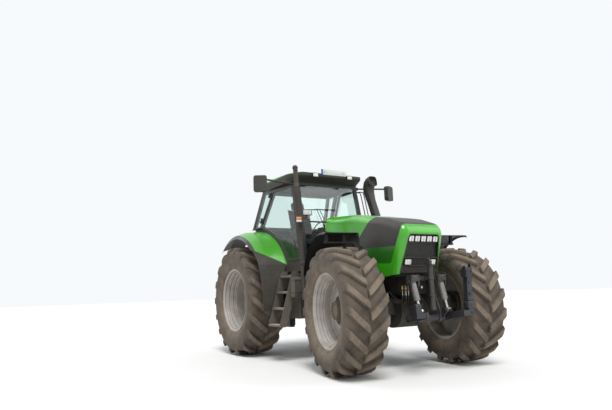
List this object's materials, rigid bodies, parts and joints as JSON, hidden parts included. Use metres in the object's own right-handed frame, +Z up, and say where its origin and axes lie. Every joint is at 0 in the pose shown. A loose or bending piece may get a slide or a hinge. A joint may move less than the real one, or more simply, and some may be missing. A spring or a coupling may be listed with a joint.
{
  "type": "farm tractor",
  "caption": "Four-wheel-drive row-crop farm tractor with a glazed cab, steered front wheels, opening doors and bonnet, and front and rear lift linkages.",
  "frame": {"origin": "on the ground, at the middle of the overall length and width", "axes": "+X forward, towards the bonnet's nose; +Y to the tractor's left; +Z up"},
  "size_m": [5.2948, 2.8844, 3.1712],
  "materials": {
    "green_paint": "glossy green paint",
    "hood_shell": "glossy green and dark grey moulding",
    "black_paint": "satin black paint",
    "cast_green": "dark grey painted casting",
    "cab_grey": "light grey paint",
    "dark_plastic": "dark moulded plastic",
    "grey_plastic": "pale grey moulded plastic",
    "rim_silver": "silver grey paint, dusty",
    "tyre_rubber": "dusty tyre rubber",
    "tinted_glass": "light green tint",
    "lamp_glass": "clear lamp lens",
    "seat_fabric": "dark woven cover",
    "bright_steel": "chromed rod",
    "pipe_steel": "heat dulled steel",
    "step_metal": "pale aluminium"
  },
  "bodies": {
    "chassis": {"front_frame": "cast_green", "engine_block": "cast_green", "transmission": "cast_green", "front_axle_beam": "cast_green", "radiator": "dark_plastic", "fuel_tanks": "dark_plastic", "side_boxes": "grey_plastic", "steps": "step_metal", "cab_tub": "dark_plastic", "cab_frame": "cab_grey", "cab_glass": "tinted_glass", "roof": "green_paint", "roof_liner": "dark_plastic", "work_lamps": "lamp_glass", "dashboard": "dark_plastic", "steering_wheel": "dark_plastic", "seat_base": "dark_plastic", "seat_cushion": "seat_fabric", "seat_back": "seat_fabric", "cowl": "dark_plastic", "exhaust": "pipe_steel", "intake_stack": "dark_plastic", "mirrors": "dark_plastic", "rear_guards": "hood_shell", "guard_skirts": "dark_plastic", "front_hitch": "black_paint", "rear_hitch": "black_paint", "pto_shafts": "bright_steel"},
    "rear_wheel_left": {"rear_tyre_left": "tyre_rubber", "rear_rim_left": "rim_silver"},
    "steering_left": {"knuckle_left": "cast_green", "front_guard_left": "dark_plastic"},
    "front_wheel_left": {"front_tyre_left": "tyre_rubber", "front_rim_left": "rim_silver"},
    "door_leaf_left": {"door_left": "dark_plastic", "door_glass_left": "tinted_glass"},
    "rear_wheel_right": {"rear_tyre_right": "tyre_rubber", "rear_rim_right": "rim_silver"},
    "steering_right": {"knuckle_right": "cast_green", "front_guard_right": "dark_plastic"},
    "front_wheel_right": {"front_tyre_right": "tyre_rubber", "front_rim_right": "rim_silver"},
    "door_leaf_right": {"door_right": "dark_plastic", "door_glass_right": "tinted_glass"},
    "track_rod": {"tie_rod": "black_paint"},
    "bonnet": {"hood": "hood_shell", "hood_band": "hood_shell", "hood_side_panels": "hood_shell", "hood_mask": "hood_shell", "grille": "dark_plastic", "headlamps": "lamp_glass"},
    "front_lift": {"front_lift_arms": "black_paint"},
    "front_barrels": {"front_lift_barrels": "black_paint"},
    "front_rods": {"front_lift_rods": "bright_steel"},
    "rear_lift": {"rear_lift_arms": "black_paint"},
    "links": {"lower_links": "black_paint"},
    "hangers": {"lift_rods": "black_paint"}
  },
  "joints": [
    {"name": "rear_wheel_spin_left", "type": "hinge", "parent": "chassis", "child": "rear_wheel_left", "pos_m": [-1.372, 0.996, 0.96155], "axis": [0, 1, 0], "continuous": true},
    {"name": "rear_wheel_spin_right", "type": "hinge", "parent": "chassis", "child": "rear_wheel_right", "pos_m": [-1.372, -0.996, 0.96155], "axis": [0, 1, 0], "continuous": true},
    {"name": "steer_right", "type": "hinge", "parent": "chassis", "child": "steering_right", "pos_m": [1.758, -0.84, 0.83335], "axis": [0, 0, 1], "range_deg": [-15.4, 34.6]},
    {"name": "steer_left", "type": "hinge", "parent": "chassis", "child": "steering_left", "pos_m": [1.758, 0.84, 0.83335], "axis": [0, 0, 1], "range_deg": [-15.4, 34.6]},
    {"name": "front_wheel_spin_left", "type": "hinge", "parent": "steering_left", "child": "front_wheel_left", "pos_m": [1.78285, 0.98691, 0.83335], "axis": [0.1668, 0.986, 0], "continuous": true},
    {"name": "front_wheel_spin_right", "type": "hinge", "parent": "steering_right", "child": "front_wheel_right", "pos_m": [1.73315, -0.98691, 0.83335], "axis": [0.1668, 0.986, 0], "continuous": true},
    {"name": "track_rod_turn", "type": "hinge", "parent": "steering_right", "child": "track_rod", "pos_m": [1.47206, -0.79164, 0.68835], "axis": [0, 0, 1], "range_deg": [-34.6, 15.4]},
    {"name": "door_left_swing", "type": "hinge", "parent": "chassis", "child": "door_leaf_left", "pos_m": [-1.14052, 0.80906, 2.38192], "axis": [0.5347, -0.0997, 0.8391], "range_deg": [0, 65]},
    {"name": "door_right_swing", "type": "hinge", "parent": "chassis", "child": "door_leaf_right", "pos_m": [-1.14052, -0.80906, 2.38192], "axis": [-0.5347, -0.0997, -0.8391], "range_deg": [0, 65]},
    {"name": "bonnet_lift", "type": "hinge", "parent": "chassis", "child": "bonnet", "pos_m": [0.528, 0, 2.185], "axis": [0, -1, 0], "range_deg": [0, 45]},
    {"name": "front_lift_swing", "type": "hinge", "parent": "chassis", "child": "front_lift", "pos_m": [2.268, 0, 0.7], "axis": [0, 1, 0], "range_deg": [0, 40]},
    {"name": "front_barrel_swing", "type": "hinge", "parent": "chassis", "child": "front_barrels", "pos_m": [2.283, 0, 1.17], "axis": [0, 1, 0], "range_deg": [-2, 0.5]},
    {"name": "front_rod_slide", "type": "slide", "parent": "front_barrels", "child": "front_rods", "axis": [0.273, 0, -0.962], "range_m": [0, 0.10865]},
    {"name": "rear_lift_swing", "type": "hinge", "parent": "chassis", "child": "rear_lift", "pos_m": [-1.672, 0, 1.29], "axis": [0, 1, 0], "range_deg": [-15, 40]},
    {"name": "lower_link_swing", "type": "hinge", "parent": "chassis", "child": "links", "pos_m": [-1.672, 0, 0.62], "axis": [0, 1, 0], "range_deg": [-15, 40]},
    {"name": "hanger_swing", "type": "hinge", "parent": "rear_lift", "child": "hangers", "pos_m": [-2.072, 0, 1.29], "axis": [0, 1, 0], "range_deg": [-40, 15]}
  ],
  "couplings": [
    {"joint": "steer_left", "follows": "steer_right", "ratio": 1},
    {"joint": "track_rod_turn", "follows": "steer_right", "ratio": -1},
    {"joint": "front_barrel_swing", "follows": "front_lift_swing", "ratio": -0.0414},
    {"joint": "front_rod_slide", "follows": "front_lift_swing", "m_per_rad": 0.15277},
    {"joint": "lower_link_swing", "follows": "rear_lift_swing", "ratio": 1},
    {"joint": "hanger_swing", "follows": "rear_lift_swing", "ratio": -1}
  ]
}
